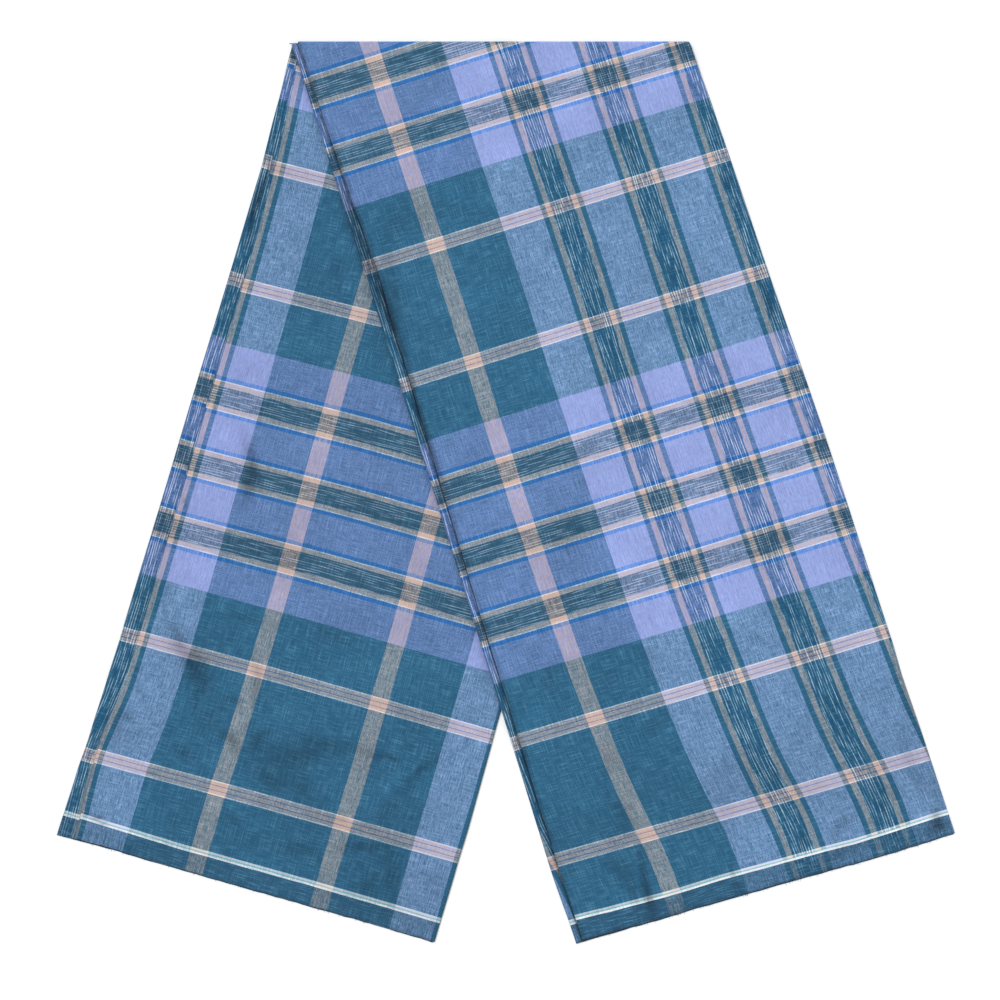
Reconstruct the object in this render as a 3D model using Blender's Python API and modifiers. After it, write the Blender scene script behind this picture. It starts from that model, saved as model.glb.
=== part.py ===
"""A checked cotton longyi cloth, folded lengthwise into a long band and turned over once.

The band's two legs spread downwards from a level fold, like an upturned V. The under leg runs
down to the left and lies on the table. The over leg runs down to the right and rests partly on
the under leg. X runs to the right, Y from the cut ends up to the fold, Z up from the table.

Each leg is a face panel, which is the cloth that shows, over the leg's hidden layers, which
share one solid with stepped edges. Both turn round the band's right-hand fold.
"""

import math
from collections import namedtuple

import bmesh
import bpy
from mathutils import Vector

# How the cloth lies, in metres
MM = 0.001
WALL = 1.0 * MM  # a face panel
LEAF = 0.8 * MM  # one hidden leaf of doubled cloth
GAP = 0.3 * MM  # between pieces that lie on each other
LAYERS = 2 * LEAF
LEG_HEIGHT = LAYERS + GAP + WALL
OVER_REST = LEG_HEIGHT + GAP  # where the over leg rests on the under leg
SIDE_RADIUS = LEG_HEIGHT / 2  # the lengthwise fold at each leg's right edge
TURN_RADIUS = (OVER_REST + LEG_HEIGHT) / 2  # the turn over the top
NOSE_RADIUS = TURN_RADIUS - WALL - GAP  # the hidden layers inside that turn

# The outline seen from above, in metres, for a band 2 m long
HALF_SPAN = 0.508
HALF_RISE = 0.509
FOLD_Y = HALF_RISE - TURN_RADIUS
FOLD_LEFT_X = -0.242
FOLD_RIGHT_X = 0.211
TURN_DRIFT = 0.003  # the band leans, so it creeps to the left as it goes over the top
UNDER_END_LEFT = Vector((-HALF_SPAN, -0.391))
UNDER_END_RIGHT = Vector((-0.078, -HALF_RISE))
OVER_END_LEFT = Vector((0.078, -HALF_RISE))
END_STEP = 1.7 * MM  # the lower leaves show past a face panel's cut end
OVER_END_RIGHT = Vector((HALF_SPAN + 0.3 * END_STEP, -0.388))

# How far each edge bows towards +X from a straight line, in mm, down the leg from the fold
Bow = namedtuple("Bow", "share under_left under_right over_left over_right")
BOWS = (
    Bow(0.00, 0.0, 0.0, 0.0, 0.0),
    Bow(0.08, 5.0, 0.0, 0.5, 0.0),
    Bow(0.25, 8.0, 0.0, 1.0, 1.0),
    Bow(0.50, 5.5, 0.0, 0.5, 3.3),
    Bow(0.75, 4.0, -1.8, -1.8, 2.0),
    Bow(0.92, 0.0, -0.5, -3.3, 1.0),
    Bow(1.00, 0.0, 0.0, 0.0, 0.0),
)

# How far a face panel's left edge lies inside the leaves under it, in mm
Inset = namedtuple("Inset", "share under over")
INSETS = (
    Inset(0.00, 8.0, 7.4),
    Inset(0.12, 9.5, 7.4),
    Inset(0.20, 17.5, 7.4),
    Inset(0.85, 18.0, 7.4),
    Inset(1.00, 23.5, 7.4),
)

# The hidden layers' section across the leg, in mm: where a row is measured from, how far to the
# right of it, and the undersides and tops of the leaves there
Profile = namedtuple("Profile", "measured_from offset bottom top")
PROFILE = (
    Profile("left", 0.00, 0.28, 0.52),
    Profile("left", 0.25, 0.10, 0.70),
    Profile("left", 0.60, 0.00, 0.80),
    Profile("leaf", 0.00, 0.00, 0.80),
    Profile("leaf", 0.25, 0.00, 1.35),
    Profile("leaf", 0.80, 0.00, 1.60),
    Profile("right", -0.80, 0.00, 1.60),
    Profile("right", -0.30, 0.10, 1.40),
    Profile("right", 0.00, 0.30, 1.10),
)
LEAF_STEP = {"under": 1.7, "over": 6.0}  # mm from the lowest leaf's left edge to the next one's

# The hidden layers' cut end, in mm before the end
Cut = namedtuple("Cut", "before bottom top")
CUT_END = (
    Cut(2.00, 0.00, 1.60),
    Cut(1.45, 0.00, 1.35),
    Cut(1.20, 0.00, 0.80),
    Cut(0.60, 0.00, 0.80),
    Cut(0.25, 0.10, 0.70),
    Cut(0.00, 0.28, 0.52),
)

# How the over leg comes down to the table beyond the under leg's right edge
EASE_START = 4 * MM
EASE_LENGTH = 26 * MM
EASE_STEPS = 4

SECTIONS = 24  # down a leg
FLAT_COLUMNS = 4  # across a face panel
SIDE_STEPS = 6  # round a leg's right edge
TURN_STEPS = 10  # over the top
NOSE_STEPS = 5
NOSE_END_ANGLE = math.radians(80)
NOSE_START = 0.05 * MM

COLOURS = {
    "face": (0.09, 0.21, 0.36, 1.0),
    "layers": (0.05, 0.13, 0.22, 1.0),
}
ROUGHNESS = 0.85


def ease(x):
    """0 to 1 with a soft start and end."""
    x = min(max(x, 0.0), 1.0)
    return x * x * (3 - 2 * x)


def column_value(rows, column, share):
    """One column of a table at a share of the way down, eased between its rows."""
    for above, below in zip(rows, rows[1:]):
        if share <= below.share:
            way = ease((share - above.share) / (below.share - above.share))
            start = getattr(above, column)
            return start + (getattr(below, column) - start) * way
    return getattr(rows[-1], column)


class Leg:
    """One leg of the band, from the top fold (share 0) to its cut end (share 1)."""

    def __init__(self, name, fold_drift, end_left, end_right):
        self.name = name
        self.fold_left = Vector((FOLD_LEFT_X - fold_drift, FOLD_Y))
        self.fold_right = Vector((FOLD_RIGHT_X - fold_drift, FOLD_Y))
        self.end_left = end_left
        self.end_right = end_right

    def edge(self, side, share):
        """A point of the left or right edge, seen from above."""
        start = getattr(self, "fold_" + side)
        end = getattr(self, "end_" + side)
        bow = column_value(BOWS, f"{self.name}_{side}", share) * MM
        return start.lerp(end, share) + Vector((bow, 0.0))

    def point(self, share, from_left=None, from_right=None):
        """A point of the section at this share, by its distance from one of the edges."""
        left = self.edge("left", share)
        right = self.edge("right", share)
        across = (right - left).normalized()
        if from_left is None:
            return right - across * from_right
        return left + across * from_left

    def inset(self, share):
        return column_value(INSETS, self.name, share) * MM

    def length(self):
        """From the fold to the cut end, down the leg's middle."""
        top = (self.fold_left + self.fold_right) / 2
        return ((self.end_left + self.end_right) / 2 - top).length


UNDER_LEG = Leg("under", TURN_DRIFT, UNDER_END_LEFT, UNDER_END_RIGHT)
OVER_LEG = Leg("over", 0.0, OVER_END_LEFT, OVER_END_RIGHT)

# The line of the under leg's right edge, and the way out of the leg from it
STEP_POINT = UNDER_LEG.fold_right
STEP_LINE = (UNDER_LEG.end_right - UNDER_LEG.fold_right).normalized()
STEP_OUT = Vector((-STEP_LINE.y, STEP_LINE.x))


def rest_height(x, y):
    """How high the over leg's underside lies at a point of the plan."""
    beyond = (Vector((x, y)) - STEP_POINT).dot(STEP_OUT)
    if y > FOLD_Y:
        return OVER_REST
    return OVER_REST * (1 - ease((beyond - EASE_START) / EASE_LENGTH))


def score_step(bm):
    """Cuts a mesh along the lines where the over leg starts, and goes on, coming down."""
    for step in range(EASE_STEPS + 1):
        out = EASE_START + EASE_LENGTH * step / EASE_STEPS
        on_line = STEP_POINT + STEP_OUT * out
        bmesh.ops.bisect_plane(
            bm,
            geom=bm.verts[:] + bm.edges[:] + bm.faces[:],
            dist=0.01 * MM,
            plane_co=(on_line.x, on_line.y, 0.0),
            plane_no=(STEP_OUT.x, STEP_OUT.y, 0.0),
        )


def lay_on_under_leg(bm):
    """Lifts a mesh of the over leg onto the under leg."""
    for vert in bm.verts:
        vert.co.z += rest_height(vert.co.x, vert.co.y)


def roll_over_top(bm):
    """Bends what reaches past the fold line over the top and down to the table."""
    for vert in bm.verts:
        past = vert.co.y - FOLD_Y
        if past <= 0:
            continue
        angle = past / TURN_RADIUS
        radius = vert.co.z - TURN_RADIUS
        vert.co.y = FOLD_Y + radius * math.sin(angle)
        vert.co.z = TURN_RADIUS + radius * math.cos(angle)


def unit_grid(columns, rows):
    """A flat grid whose vertices are then placed by their column and row."""
    bm = bmesh.new()
    bmesh.ops.create_grid(bm, x_segments=columns, y_segments=rows, size=1.0)
    return bm


def grid_place(vert, columns, rows):
    """A grid vertex's column and row."""
    return round((vert.co.x + 1) / 2 * columns), round((vert.co.y + 1) / 2 * rows)


def finish_object(bm, name, colour, collection):
    """Turns a mesh into a named object with its own plain material."""
    mesh = bpy.data.meshes.new(name)
    bmesh.ops.recalc_face_normals(bm, faces=bm.faces[:])
    bm.to_mesh(mesh)
    bm.free()
    material = bpy.data.materials.new(name + "_cotton")
    material.use_nodes = True
    shader = material.node_tree.nodes["Principled BSDF"]
    shader.inputs["Base Color"].default_value = COLOURS[colour]
    shader.inputs["Roughness"].default_value = ROUGHNESS
    shader.inputs["Metallic"].default_value = 0.0
    mesh.materials.append(material)
    mesh.shade_smooth()
    mesh.set_sharp_from_angle(angle=math.radians(30))
    piece = bpy.data.objects.new(name, mesh)
    collection.objects.link(piece)
    return piece


def face_stations(leg):
    """The shares down a leg where a face panel has a section, fold first."""
    end = 1 - END_STEP / leg.length()
    return [end * i / SECTIONS for i in range(SECTIONS + 1)]


def face_point(leg, share, column):
    """A point of a face panel's outer skin: across the top, then round the right edge."""
    inset = leg.inset(share)
    if column <= FLAT_COLUMNS:
        left = leg.point(share, from_left=inset)
        right = leg.point(share, from_right=SIDE_RADIUS)
        spot = left.lerp(right, column / FLAT_COLUMNS)
        return Vector((spot.x, spot.y, LEG_HEIGHT))
    angle = math.pi * (column - FLAT_COLUMNS) / SIDE_STEPS
    spot = leg.point(share, from_right=SIDE_RADIUS * (1 - math.sin(angle)))
    return Vector((spot.x, spot.y, SIDE_RADIUS * (1 + math.cos(angle))))


def add_wall(piece):
    """Gives an open skin its thickness, inwards."""
    solid = piece.modifiers.new("wall", "SOLIDIFY")
    solid.thickness = WALL
    solid.offset = -1.0
    solid.use_even_offset = True


def make_under_face(collection):
    """The under leg's upper panel, from just inside the turn down to its cut end."""
    stations = face_stations(UNDER_LEG)
    columns = FLAT_COLUMNS + SIDE_STEPS
    bm = unit_grid(columns, SECTIONS)
    for vert in bm.verts:
        column, row = grid_place(vert, columns, SECTIONS)
        vert.co = face_point(UNDER_LEG, stations[row], column)
        if row == 0:
            vert.co.y -= GAP
    piece = finish_object(bm, "under_leg_face", "face", collection)
    point_out(piece)
    add_wall(piece)
    return piece


def make_over_face(collection):
    """The over leg's upper panel, and the turn in which it goes over the top."""
    stations = face_stations(OVER_LEG)
    columns = FLAT_COLUMNS + SIDE_STEPS
    rows = SECTIONS + TURN_STEPS
    turn_step = math.pi * TURN_RADIUS / TURN_STEPS
    bm = unit_grid(columns, rows)
    side_in_turn = []
    for face in bm.faces:
        places = [grid_place(vert, columns, rows) for vert in face.verts]
        past_side = max(column for column, row in places) > FLAT_COLUMNS
        past_fold = min(row for column, row in places) < TURN_STEPS
        if past_side and past_fold:
            side_in_turn.append(face)
    bmesh.ops.delete(bm, geom=side_in_turn, context="FACES")
    for vert in bm.verts:
        column, row = grid_place(vert, columns, rows)
        over_top = TURN_STEPS - row
        vert.co = face_point(OVER_LEG, stations[max(-over_top, 0)], column)
        if over_top > 0:
            vert.co.x -= TURN_DRIFT * over_top / TURN_STEPS
            vert.co.y += turn_step * over_top
    score_step(bm)
    lay_on_under_leg(bm)
    roll_over_top(bm)
    piece = finish_object(bm, "over_leg_face", "face", collection)
    point_out(piece)
    add_wall(piece)
    return piece


def point_out(piece):
    """Turns an open skin so that its top faces up, away from the wall."""
    highest = max(piece.data.polygons, key=lambda face: face.center.z * 10 + abs(face.normal.z))
    if highest.normal.z < 0:
        piece.data.flip_normals()


def layer_sections(leg, fold_gap):
    """(share, shift in Y, bottom, top) of each section of the hidden layers, fold first."""
    body_end = 1 - CUT_END[0].before * MM / leg.length()
    sections = [(0.0, -fold_gap, 0.0, LAYERS)]
    sections += [(body_end * i / SECTIONS, 0.0, 0.0, LAYERS) for i in range(1, SECTIONS + 1)]
    for cut in CUT_END[1:]:
        sections.append((1 - cut.before * MM / leg.length(), 0.0, cut.bottom * MM, cut.top * MM))
    return sections


def nose_sections():
    """The over leg's hidden layers where they fill the turn, outermost first."""
    sections = []
    for i in reversed(range(NOSE_STEPS)):
        angle = NOSE_END_ANGLE * i / (NOSE_STEPS - 1)
        half = NOSE_RADIUS * math.cos(angle)
        shift = NOSE_START + (NOSE_RADIUS - NOSE_START) * math.sin(angle)
        middle = TURN_RADIUS - OVER_REST
        sections.append((0.0, shift, middle - half, middle + half))
    return sections


def make_layers(leg, name, sections, collection):
    """A leg's hidden layers: one closed body whose left edge and cut end step down by leaves."""
    columns = len(PROFILE) - 1
    rows = len(sections) - 1
    bm = unit_grid(columns, rows)
    sheet = bm.faces[:] + bm.edges[:] + bm.verts[:]
    copy = bmesh.ops.extrude_face_region(bm, geom=sheet, use_keep_orig=True)
    undersides = [item for item in copy["geom"] if isinstance(item, bmesh.types.BMVert)]
    bmesh.ops.translate(bm, verts=undersides, vec=(0.0, 0.0, -1.0))
    right_edge = SIDE_RADIUS + GAP
    for vert in bm.verts:
        column, row = grid_place(vert, columns, rows)
        profile = PROFILE[column]
        offset = profile.offset * MM
        share, shift, lowest, highest = sections[row]
        if profile.measured_from == "left":
            spot = leg.point(share, from_left=offset)
        elif profile.measured_from == "leaf":
            spot = leg.point(share, from_left=LEAF_STEP[leg.name] * MM + offset)
        else:
            spot = leg.point(share, from_right=right_edge - offset)
        underside = vert.co.z < -0.5
        height = min(profile.top * MM, highest)
        if underside:
            height = max(profile.bottom * MM, lowest) if lowest >= 0 else lowest
        vert.co = Vector((spot.x, spot.y + shift, height))
    if leg is OVER_LEG:
        score_step(bm)
        lay_on_under_leg(bm)
    return finish_object(bm, name, "layers", collection)


def main():
    for old in list(bpy.data.objects):
        bpy.data.objects.remove(old, do_unlink=True)
    collection = bpy.data.collections.new("folded_longyi_cloth")
    bpy.context.scene.collection.children.link(collection)
    make_layers(UNDER_LEG, "under_leg_layers", layer_sections(UNDER_LEG, GAP), collection)
    make_under_face(collection)
    over_sections = nose_sections() + layer_sections(OVER_LEG, 0.0)
    make_layers(OVER_LEG, "over_leg_layers", over_sections, collection)
    make_over_face(collection)


main()
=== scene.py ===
# %% [markdown]
# # A folded longyi cloth
#
# A longyi is a length of cotton cloth, about two metres by one and a third, that is worn as a
# sarong. This one is shown as it is sold: folded lengthwise into a band and turned over once at
# the top, so that its two legs spread like an upturned V. The scene lays four thin sheets where
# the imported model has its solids, and gives them one woven material.

# %% Load the frame
import math
from collections import namedtuple

import bmesh
import bpy
import numpy as np
from mathutils import Matrix, Vector, noise


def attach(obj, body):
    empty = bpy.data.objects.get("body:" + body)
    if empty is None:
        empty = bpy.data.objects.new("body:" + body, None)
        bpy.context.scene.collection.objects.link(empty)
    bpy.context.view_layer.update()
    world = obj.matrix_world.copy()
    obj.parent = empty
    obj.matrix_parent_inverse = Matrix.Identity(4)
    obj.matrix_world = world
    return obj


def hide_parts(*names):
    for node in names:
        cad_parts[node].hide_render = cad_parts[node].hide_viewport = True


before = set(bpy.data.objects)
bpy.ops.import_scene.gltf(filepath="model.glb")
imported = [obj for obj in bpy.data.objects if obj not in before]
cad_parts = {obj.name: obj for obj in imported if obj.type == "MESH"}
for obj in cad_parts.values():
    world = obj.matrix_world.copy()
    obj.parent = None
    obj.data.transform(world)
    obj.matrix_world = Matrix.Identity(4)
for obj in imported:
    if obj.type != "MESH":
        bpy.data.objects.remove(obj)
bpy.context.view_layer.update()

# %% [markdown]
# ## The camera
#
# The cloth lies flat and is seen from straight above. A camera could be framed by eye, but here
# one pixel of the photograph is a known length of cloth, so the lens follows from the height of
# the camera and the width of cloth that the picture takes in.

# %% Camera straight above the cloth
MM = 0.001
PIXEL = 1.1312 * MM  # the length of cloth that one pixel shows
PICTURE = 1000  # pixels across
PICTURE_MIDDLE = (-6.8 * MM, -9.05 * MM)
CAMERA_HEIGHT = 2.6

lens = bpy.data.cameras.new("overhead")
lens.lens = lens.sensor_width * CAMERA_HEIGHT / (PIXEL * PICTURE)
camera = bpy.data.objects.new("overhead", lens)
camera.location = (*PICTURE_MIDDLE, CAMERA_HEIGHT)
bpy.context.collection.objects.link(camera)
bpy.context.scene.camera = camera
print(f"lens {lens.lens:.1f} mm")

# %% [markdown]
# ## How the cloth lies
#
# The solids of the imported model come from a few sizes: how thick the layers are, where the
# corners of the two legs lie and how far their edges bow. A cloth sheet that replaces a solid
# has to lie where the solid does, so nearly the same sizes and small tables are used again, with
# more rows where the photograph shows more. Reading the solids' points back would work too, but
# then the folds could not be laid in order.

# %% Heights of the layers, and the corners of the two legs
LEG_HEIGHT = 2.9 * MM  # the top of a leg's upper panel
OVER_REST = 3.2 * MM  # how high the over leg rests on the under leg
SIDE_RADIUS = LEG_HEIGHT / 2  # the lengthwise fold at each leg's right edge
TURN_RADIUS = (OVER_REST + LEG_HEIGHT) / 2  # the turn over the top
GAP = 0.3 * MM
HALF_SPAN = 0.508
HALF_RISE = 0.509
FOLD_Y = HALF_RISE - TURN_RADIUS
FOLD_LEFT_X = -0.242
FOLD_RIGHT_X = 0.211
TURN_DRIFT = 3 * MM
END_STEP = 1.7 * MM  # the lower leaves show past an upper panel's cut end
UNDER_END_LEFT = Vector((-HALF_SPAN, -0.391))
UNDER_END_RIGHT = Vector((-0.078, -HALF_RISE))
OVER_END_LEFT = Vector((0.078, -HALF_RISE))
OVER_END_RIGHT = Vector((HALF_SPAN + 0.3 * END_STEP, -0.388))


def named_rows(fields, *rows):
    """A table whose rows have named columns."""
    Row = namedtuple("Row", fields)
    return [Row(*row) for row in rows]


# How far each edge bows towards +X, and how far an upper panel's left edge lies inside the
# leaves under it, in mm, down the leg from the fold
BOWS = named_rows(
    "share under_left under_right over_left over_right",
    (0.00, 3.6, 0.0, 0.0, -2.8),
    (0.08, 6.4, 0.0, 0.5, -0.9),
    (0.16, 8.8, 0.0, 0.8, -0.4),
    (0.25, 8.6, 0.0, 1.0, -0.1),
    (0.50, 6.8, 0.0, 0.6, 2.5),
    (0.75, 5.2, -1.6, -0.6, 1.0),
    (0.80, 4.2, -1.1, -0.9, -0.7),
    (0.87, 2.8, -0.8, -1.5, 0.1),
    (0.92, 0.7, -1.8, -1.8, -0.1),
    (1.00, -1.0, -3.0, 0.8, -0.3),
)
INSETS = named_rows(
    "share under over",
    (0.00, 9.6, 8.6),
    (0.04, 9.8, 8.8),
    (0.09, 9.9, 8.8),
    (0.13, 9.8, 10.4),
    (0.18, 11.6, 11.2),
    (0.22, 14.2, 14.0),
    (0.26, 15.8, 14.8),
    (0.31, 17.0, 13.8),
    (0.37, 18.0, 12.8),
    (0.44, 18.2, 11.3),
    (0.53, 18.4, 10.6),
    (0.62, 19.4, 9.4),
    (0.71, 19.4, 9.7),
    (0.79, 17.8, 9.4),
    (0.84, 15.2, 9.2),
    (0.88, 14.0, 9.8),
    (0.93, 16.6, 9.2),
    (1.00, 21.0, 8.2),
)
# How far a cut end lies up the leg from the straight line between its corners, in mm
END_BOWS = named_rows(
    "share under over",
    (0.00, 3.2, -1.8),
    (0.12, 4.0, -1.6),
    (0.22, 2.7, -1.6),
    (0.35, 2.2, -0.8),
    (0.55, 1.3, -0.6),
    (0.80, 0.6, -0.9),
    (0.92, -0.4, 0.2),
    (1.00, -1.0, 1.6),
)


def ease(x):
    """0 to 1 with a soft start and end."""
    x = np.clip(x, 0.0, 1.0)
    return x * x * (3 - 2 * x)


def column_value(rows, column, share):
    """One column of a table at a share of the way down, eased between its rows."""
    for above, below in zip(rows, rows[1:]):
        if share <= below.share:
            way = ease((share - above.share) / (below.share - above.share))
            start = getattr(above, column)
            return start + (getattr(below, column) - start) * float(way)
    return getattr(rows[-1], column)


class Leg:
    """One leg of the band, from the top fold (share 0) to its cut end (share 1)."""

    def __init__(self, name, drift, end_left, end_right, lean, seed):
        self.name = name
        self.seed = seed
        self.fold_left = Vector((FOLD_LEFT_X - drift, FOLD_Y))
        self.fold_right = Vector((FOLD_RIGHT_X - drift, FOLD_Y))
        self.end_left = end_left
        self.end_right = end_right
        self.up = Vector((-math.sin(lean), math.cos(lean)))  # the way the warp runs
        self.across = Vector((math.cos(lean), math.sin(lean)))  # square to the warp

    def edge(self, side, share):
        start = getattr(self, "fold_" + side)
        end = getattr(self, "end_" + side)
        bow = column_value(BOWS, f"{self.name}_{side}", share) * MM
        return start.lerp(end, share) + Vector((bow, 0.0))

    def inset(self, share):
        return column_value(INSETS, self.name, share) * MM

    def length(self):
        top = (self.fold_left + self.fold_right) / 2
        return ((self.end_left + self.end_right) / 2 - top).length


UNDER_LEG = Leg("under", TURN_DRIFT, UNDER_END_LEFT, UNDER_END_RIGHT, math.radians(-16.6), 5.0)
OVER_LEG = Leg("over", 0.0, OVER_END_LEFT, OVER_END_RIGHT, math.radians(17.4), 1.0)
for leg in (UNDER_LEG, OVER_LEG):
    print(leg.name, "leg", round(leg.length(), 3), "m long")

# %% [markdown]
# ## Where the warp and weft run
#
# A weaver plans a check as two charts: the order of the warp threads across the loom, and the
# order of the weft threads as the cloth grows. The charts are regular, but cloth that has been
# washed, folded and laid by hand is not: its lines wander by a few millimetres and lean. Drawing
# the check straight in the object's own directions would look printed. So each point of a sheet
# gets its place in the two charts as a UV coordinate, in metres of cloth, and short tables say
# how the lines of the chart really lie on each leg.

# %% The warp chart: where some of its lines lie across each leg
TEAL_EDGE = 305.4  # mm, the edge of the teal field in the warp chart, which starts at its selvedge
WARP_REPEAT = 644.2

# The distance of a chart line from the straight left edge, in mm, at a distance from the end
OVER_WARP = named_rows(
    "along stripe teal_edge left_1 right_1 left_2 right_2 left_3",
    (16, 121.3, 203.2, 252.3, 303.2, 350.7, 402.7, 450.0),
    (62, 119.0, 201.0, 248.4, 300.4, 346.6, 400.4, 447.0),
    (113, 110.2, 191.6, 239.1, 289.6, 337.5, 390.6, 438.4),
    (158, 103.7, 184.6, 233.3, 283.2, 331.4, 383.6, 432.8),
    (215, 99.0, 179.2, 228.0, 278.7, 326.5, 379.2, 429.9),
    (271, 95.2, 175.3, 224.4, 274.9, 323.1, 375.1, 425.8),
    (339, 92.4, 171.5, 220.1, 270.4, 318.3, 369.9, 420.8),
    (407, 89.6, 169.7, 217.6, 268.8, 315.6, 367.2, 417.4),
    (498, 87.4, 167.4, 215.4, 264.7, 312.9, 363.1, 412.7),
    (600, 86.8, 165.2, 213.8, 262.0, 309.3, 359.3, 408.4),
    (701, 86.8, 165.2, 212.7, 261.3, 307.2, 357.0, 405.2),
    (780, 86.1, 164.0, 211.1, 260.2, 306.1, 355.2, 402.7),
    (860, 84.8, 162.2, 209.3, 257.5, 303.8, 352.5, 400.9),
    (905, 83.7, 161.3, 208.1, 256.8, 302.7, 351.1, 399.8),
    (1007, 81.6, 159.8, 206.0, 254.6, 300.5, 348.8, 397.5),
)
OVER_WARP_LINES = (225.9, TEAL_EDGE, 354.1, 402.1, 450.8, 498.8, 547.5)

UNDER_WARP = named_rows(
    "along group_edge light_edge left_stripe right_stripe teal_edge",
    (16, 28.0, 75.6, 159.6, 305.8, 389.6),
    (57, 26.2, 76.2, 159.6, 305.2, 388.4),
    (85, 24.7, 75.6, 159.2, 305.0, 388.9),
    (113, 24.8, 75.8, 159.6, 305.4, 388.2),
    (147, 29.9, 81.2, 161.3, 306.3, 388.9),
    (181, 34.8, 82.3, 161.8, 306.3, 388.9),
    (226, 35.8, 84.2, 162.1, 305.4, 388.4),
    (339, 36.1, 84.2, 163.0, 304.7, 387.8),
    (452, 36.0, 82.8, 161.2, 302.5, 386.1),
    (611, 35.5, 81.2, 158.8, 301.1, 384.3),
    (701, 34.8, 80.8, 158.6, 300.7, 383.3),
    (792, 32.5, 78.3, 156.4, 298.9, 380.9),
    (848, 28.8, 75.3, 154.7, 297.9, 379.9),
    (905, 23.9, 71.9, 152.9, 296.9, 378.9),
)
UNDER_WARP_LINES = (998.3, WARP_REPEAT + TEAL_EDGE, 870.1, 723.7, WARP_REPEAT)
SMOOTHING = (-22, -8, 8, 22)  # mm, where a table is read too, so that its lines have no corners
WARP_TABLES = {"over": (OVER_WARP, OVER_WARP_LINES), "under": (UNDER_WARP, UNDER_WARP_LINES)}


def warp_place(leg, across, along):
    """The warp chart's position, in mm, at distances across and along a leg, in mm."""
    table, lines = WARP_TABLES[leg.name]
    rows = [row.along for row in table]
    places = []
    for k in range(len(lines)):
        column = [row[k + 1] for row in table]
        places.append(sum(np.interp(along + off, rows, column) for off in SMOOTHING) / len(SMOOTHING))
    way = 1 if lines[-1] > lines[0] else -1
    chart = lines[0] + way * (across - places[0])
    for k in range(1, len(lines)):
        between = (across - places[k - 1]) / (places[k] - places[k - 1])
        inner = lines[k - 1] + (lines[k] - lines[k - 1]) * between
        chart = np.where(across > places[k - 1], inner, chart)
    return np.where(across > places[-1], lines[-1] + way * (across - places[-1]), chart)


# A lower panel's left fold lies near the middle of an ikat band: how far from it, in mm
LEAF_FOLDS = named_rows(
    "along from_middle",
    (0, 31.0),
    (40, 30.0),
    (77, 25.5),
    (102, 17.5),
    (136, 12.2),
    (200, 9.0),
    (300, 7.4),
    (1007, 7.0),
)
LEAF_BAND_MIDDLE = 571.5


def leaf_place(from_fold, along):
    """The warp chart's position on a lower panel, at a distance round its left fold."""
    rows = [row.along for row in LEAF_FOLDS]
    return LEAF_BAND_MIDDLE + np.interp(along, rows, [row.from_middle for row in LEAF_FOLDS]) + from_fold


# %% The weft chart: how far its lines lie from even spacing on each leg
MIDDLE_ALONG = 1007.3  # mm from a cut end to the middle of the cloth, where the chart starts

# How far a line lies above its even place, in mm, at four places across the leg
WEFT_COLUMNS = "chart strip left middle right"
OVER_WEFT = named_rows(
    WEFT_COLUMNS,
    (-19, -1.5, -0.8, -0.3, 0.0),
    (19, -3.8, -2.9, -2.6, -3.0),
    (81, -2.3, -1.2, -1.3, -3.8),
    (139, -2.5, -0.9, -0.6, -1.7),
    (209, -0.4, -0.1, 0.1, -0.1),
    (349, 0.6, 2.5, 2.8, 2.1),
    (418, 0.0, 2.0, 2.2, 1.8),
    (476, -2.5, -0.6, -0.5, -0.5),
    (558, -0.3, 1.1, -0.2, -1.1),
    (639, -0.7, 0.9, -1.5, -2.0),
    (697, -4.5, -3.4, -6.4, -7.4),
    (766, -6.2, -5.1, -8.2, -9.9),
    (907, -7.9, -6.5, -11.6, -15.0),
    (975, -9.6, -7.3, -12.6, -17.6),
)
UNDER_WEFT = named_rows(
    WEFT_COLUMNS,
    (0, 4.0, 0.0, 5.0, 8.0),
    (81, 5.4, 0.8, 6.3, 9.2),
    (139, 5.0, 0.8, 6.8, 10.0),
    (209, 1.6, -1.1, 4.8, 9.0),
    (349, 4.4, 1.8, 8.4, 12.0),
    (418, 6.6, 3.1, 9.3, 11.6),
    (476, 4.0, 1.1, 6.5, 9.3),
    (558, 6.9, 2.9, 8.7, 11.6),
    (639, 8.5, 5.8, 10.9, 13.6),
    (697, 4.1, 4.3, 7.4, 9.9),
    (766, 1.5, 3.2, 6.5, 8.7),
    (907, -0.9, 2.2, 6.3, 9.7),
    (975, -2.7, -0.5, -0.1, 2.3),
)
WEFT_PLACES = {"over": (40, 215, 385), "under": (53, 204, 413)}  # left, middle and right, mm
# How far the heading lies above those lines, in mm, because the cut end was never pulled straight
SAGS = named_rows(
    "across under over",
    (0, -1.0, 1.0),
    (20, 0.2, 0.6),
    (50, -0.3, -0.4),
    (115, -0.8, -1.5),
    (135, -1.2, -1.2),
    (180, -0.4, 0.1),
    (240, 0.1, -0.4),
    (300, 0.3, -0.6),
    (335, 0.0, -1.6),
    (370, 0.0, -0.6),
    (400, -0.2, 0.5),
    (435, -0.6, 1.9),
)
SAG_START = 925
SAG_LENGTH = 45


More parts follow.
